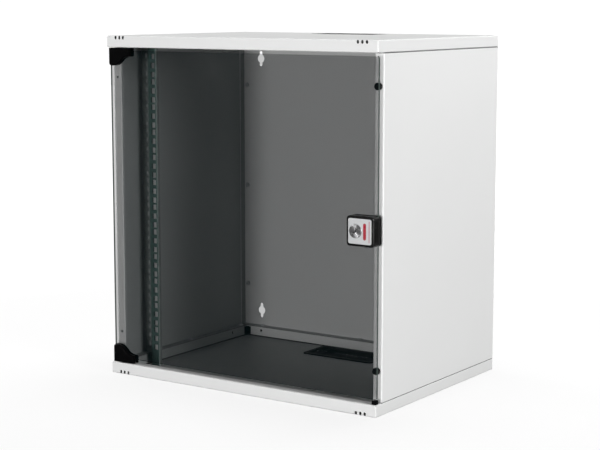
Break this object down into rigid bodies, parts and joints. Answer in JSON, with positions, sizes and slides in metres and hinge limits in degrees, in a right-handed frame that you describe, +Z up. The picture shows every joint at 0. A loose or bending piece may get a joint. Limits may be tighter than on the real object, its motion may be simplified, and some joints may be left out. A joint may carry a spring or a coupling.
{
  "type": "wall mount network cabinet",
  "caption": "Wall mount network cabinet: folded steel covers and panels, two 19 inch rails, and a tinted glass door on corner pivots with a cam lock.",
  "frame": {"origin": "middle of the bottom of the bounding box, on the surface that the cabinet stands on", "axes": "+X to the right of someone facing the door, +Y from the door to the wall, +Z up"},
  "size_m": [0.55, 0.4082, 0.595],
  "materials": {
    "cover_paint": "fine textured light grey powder coat",
    "panel_paint": "fine textured light grey powder coat",
    "door_glass": "grey tinted safety glass, polished",
    "black_plastic": "moulded, fine texture",
    "black_rubber": "matt",
    "zinc_steel": "bright zinc plated",
    "rail_steel": "galvanised, greenish grey",
    "nylon": "natural nylon",
    "bristle": "dense black bristles",
    "badge_metal": "satin anodised",
    "lock_metal": "die cast zinc, dark nickel"
  },
  "bodies": {
    "cabinet": {"bottom_cover": "cover_paint", "top_cover": "cover_paint", "right_side_panel": "panel_paint", "left_side_panel": "panel_paint", "back_panel": "panel_paint", "right_rack_rail": "rail_steel", "left_rack_rail": "rail_steel", "rail_bolts": "zinc_steel", "rail_nuts": "zinc_steel", "side_panel_screws": "zinc_steel", "back_panel_screws": "zinc_steel", "lower_entry_frame": "black_plastic", "upper_entry_frame": "black_plastic", "lower_entry_bristles": "bristle", "upper_entry_bristles": "bristle", "door_bumpers": "black_rubber", "door_rest": "black_plastic", "upper_hinge_bush": "nylon", "lower_hinge_bush": "nylon"},
    "door": {"door_glass": "door_glass", "lock_front_shell": "black_plastic", "lock_back_shell": "black_plastic", "lock_badge": "badge_metal", "lock_pads": "black_rubber", "lock_barrel": "lock_metal", "lock_barrel_nut": "zinc_steel", "upper_hinge_front_half": "black_plastic", "upper_hinge_back_half": "black_plastic", "lower_hinge_front_half": "black_plastic", "lower_hinge_back_half": "black_plastic", "upper_hinge_pin": "zinc_steel", "lower_hinge_pin": "zinc_steel", "hinge_pads": "black_rubber", "hinge_screws": "zinc_steel"},
    "lock": {"lock_rotor": "lock_metal", "lock_cam": "zinc_steel", "lock_cam_nut": "zinc_steel"}
  },
  "joints": [
    {"name": "door_swing", "type": "hinge", "parent": "cabinet", "child": "door", "pos_m": [-0.2653, -0.1889, 0.2975], "axis": [0, 0, -1], "range_deg": [0, 180]},
    {"name": "lock_turn", "type": "hinge", "parent": "door", "child": "lock", "pos_m": [0.2396, -0.1702, 0.2975], "axis": [0, -1, 0], "range_deg": [0, 90]}
  ]
}
